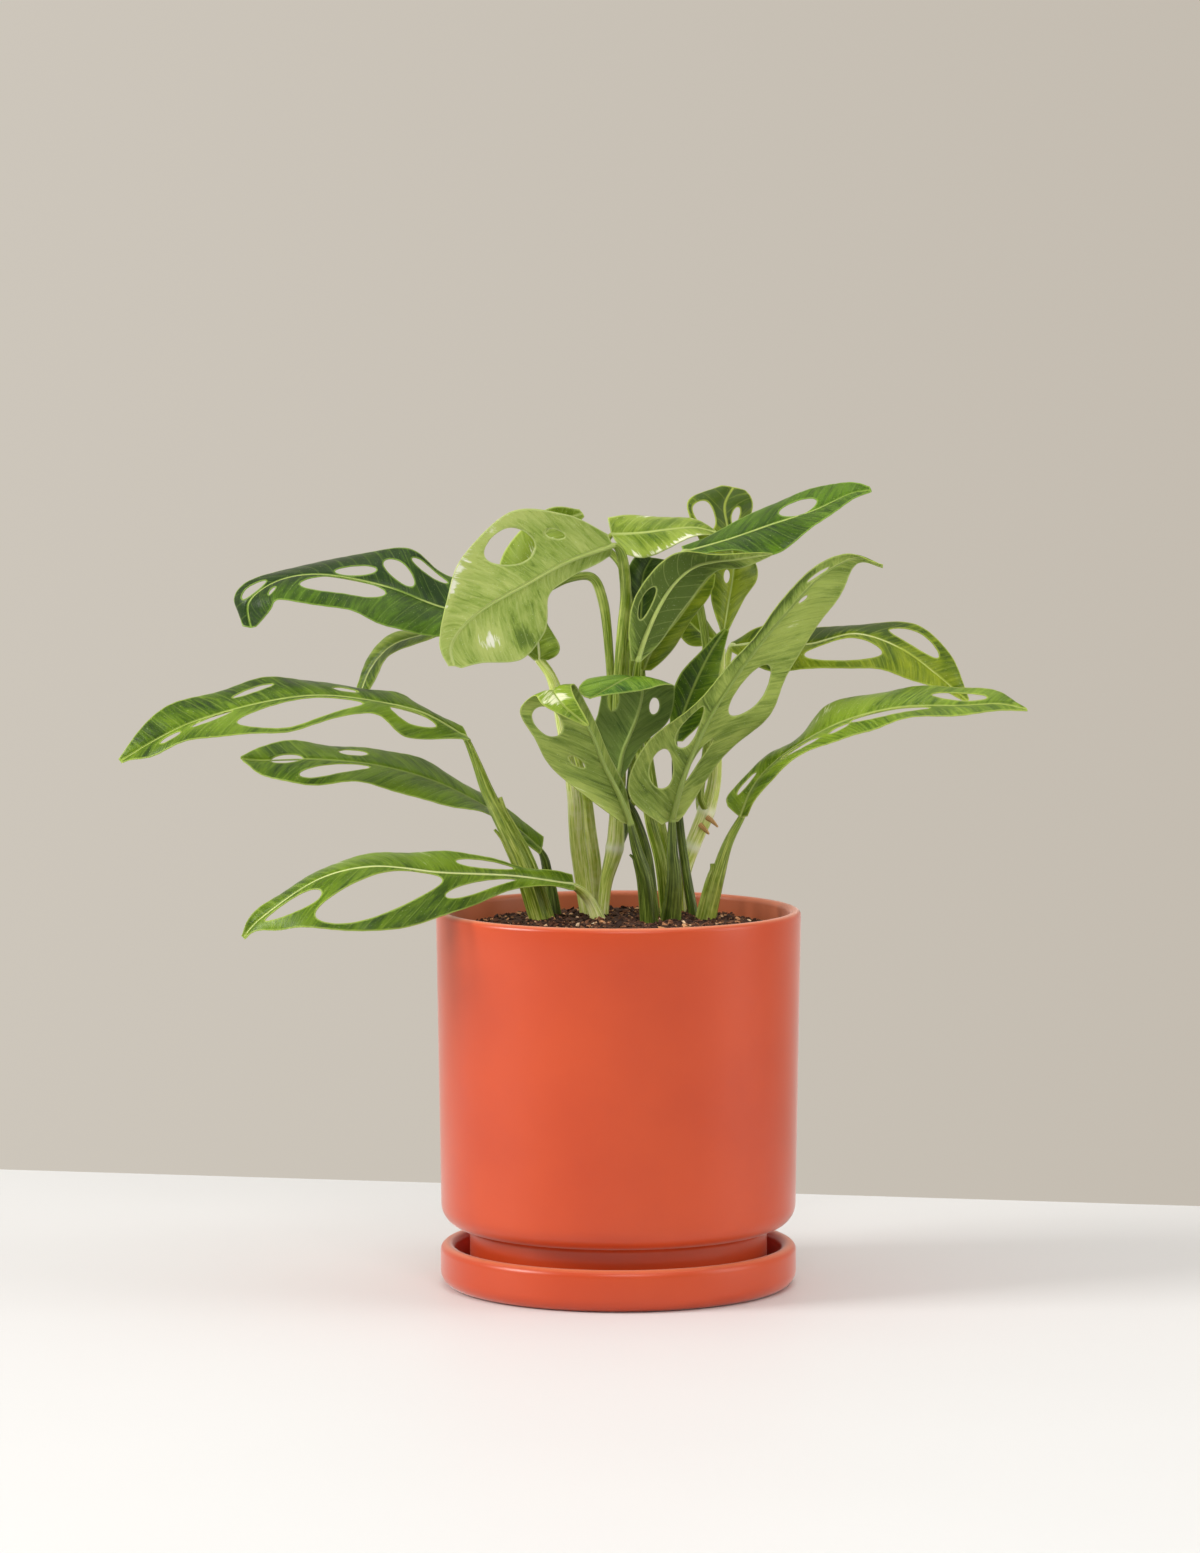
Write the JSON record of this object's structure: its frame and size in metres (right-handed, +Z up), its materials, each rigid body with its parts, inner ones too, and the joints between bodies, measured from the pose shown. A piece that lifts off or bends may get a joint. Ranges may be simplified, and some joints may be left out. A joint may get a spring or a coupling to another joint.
{
  "type": "potted monstera plant",
  "caption": "Variegated, hole-leaved monstera growing in a matte coral ceramic cylinder pot that stands in its round saucer.",
  "frame": {"origin": "centre of the saucer's flat underside, on the pot's axis", "axes": "+Z up along the pot's axis; +X along the plant's longest spread, to the right seen from the front; +Y towards the back, so -Y is the plant's front"},
  "size_m": [0.5022, 0.203, 0.4457],
  "materials": {
    "pot_ceramic": "matte",
    "potting_mix": "matte",
    "green_leaf": "satin",
    "variegated_leaf": "satin",
    "stalk": "satin",
    "aerial_root": "matte"
  },
  "bodies": {
    "root": {"pot": "pot_ceramic", "saucer": "pot_ceramic", "soil": "potting_mix", "stem_left": "stalk", "stem_right": "stalk", "aerial_root_upper": "aerial_root", "aerial_root_lower": "aerial_root", "blade_low_left": "green_leaf", "blade_long_left": "green_leaf", "blade_mid_left": "green_leaf", "blade_upper_left": "green_leaf", "blade_front_pale": "variegated_leaf", "blade_drooping": "green_leaf", "blade_behind_pale": "variegated_leaf", "blade_top_pale": "variegated_leaf", "blade_top_back": "green_leaf", "blade_upper_right": "green_leaf", "blade_right_under": "green_leaf", "blade_long_up": "green_leaf", "blade_right_back": "variegated_leaf", "blade_long_right": "green_leaf", "blade_front_curled": "green_leaf", "blade_folded_top": "green_leaf", "blade_narrow_fold": "variegated_leaf", "blade_lime_back": "variegated_leaf", "blade_broad_back": "green_leaf", "blade_shaded_back": "green_leaf", "petiole_low_left": "stalk", "petiole_long_left": "stalk", "petiole_mid_left": "stalk", "petiole_upper_left": "stalk", "petiole_front_pale": "stalk", "petiole_drooping": "stalk", "petiole_behind_pale": "stalk", "petiole_top_pale": "stalk", "petiole_upper_right": "stalk", "petiole_right_under": "stalk", "petiole_long_up": "stalk", "petiole_right_back": "stalk", "petiole_long_right": "stalk", "petiole_front_curled": "stalk", "petiole_folded_top": "stalk", "petiole_narrow_fold": "stalk", "petiole_lime_back": "stalk", "petiole_broad_back": "stalk", "petiole_shaded_back": "stalk"}
  },
  "joints": []
}
